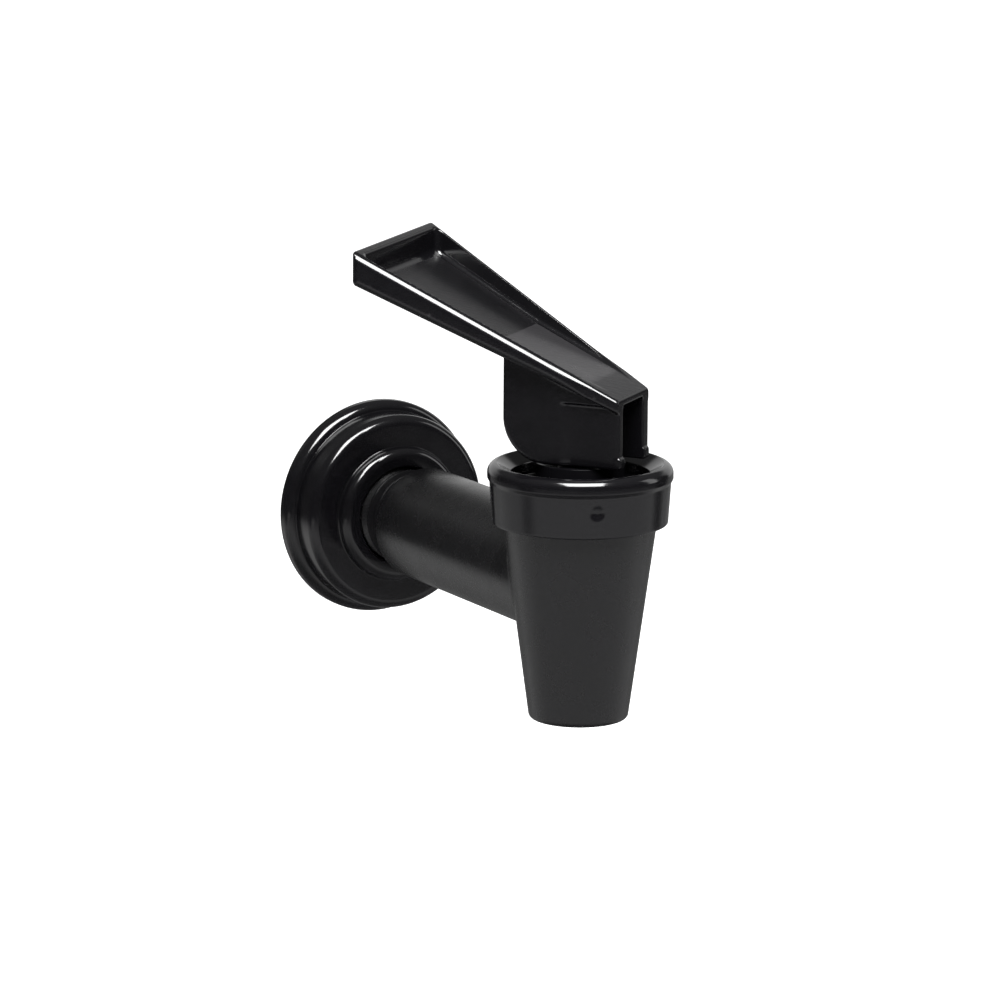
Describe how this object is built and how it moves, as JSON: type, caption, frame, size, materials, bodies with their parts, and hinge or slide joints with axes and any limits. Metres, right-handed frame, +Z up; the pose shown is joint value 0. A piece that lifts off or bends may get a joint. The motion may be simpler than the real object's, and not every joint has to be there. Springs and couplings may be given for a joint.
{
  "type": "lever dispensing faucet",
  "caption": "Black moulded drip-free lever faucet: a tray-shaped swivelling handle lifts a sprung seat cup in a tapered spout on a threaded shank with a stepped wall flange.",
  "frame": {"origin": "where the shank's axis crosses the outside of the tank wall, at the back face of the flange's gasket", "axes": "+Y along the shank into the tank, +Z up along the stem, so the spout hangs towards -Y and points down -Z"},
  "size_m": [0.0507, 0.099, 0.0766],
  "materials": {
    "gloss_black": "high-gloss moulded black plastic",
    "satin_black": "semi-gloss moulded black plastic",
    "black_rubber": "matt black rubber",
    "silicone": "translucent off-white silicone",
    "black_acetal": "smooth black acetal",
    "steel": "bright stainless steel"
  },
  "bodies": {
    "faucet": {"body": "satin_black", "bonnet": "gloss_black", "seat_cup": "silicone", "flange": "gloss_black", "flange_gasket": "black_rubber", "nut_washer": "black_rubber", "shank_nut": "satin_black"},
    "spring_turret": {"spring_washer": "steel", "closing_spring": "steel"},
    "stem": {"stem": "black_acetal", "pivot_pin": "steel"},
    "handle": {"handle": "gloss_black"}
  },
  "joints": [
    {"name": "handle_swivel", "type": "hinge", "parent": "faucet", "child": "spring_turret", "pos_m": [0, -0.071, 0.018], "axis": [0, 0, 1], "continuous": true},
    {"name": "valve_lift", "type": "slide", "parent": "spring_turret", "child": "stem", "axis": [0, 0, 1], "range_m": [0, 0.00253], "deforming": ["closing_spring", "seat_cup"]},
    {"name": "handle_tilt", "type": "hinge", "parent": "stem", "child": "handle", "pos_m": [0, -0.071, 0.0259], "axis": [-0.7986, -0.6018, 0], "range_deg": [0, 38], "stiffness_Nm_per_rad": 0.0146, "springref_deg": -104.85}
  ],
  "couplings": [
    {"joint": "handle_tilt", "follows": "valve_lift", "rad_per_m": 261.78}
  ]
}
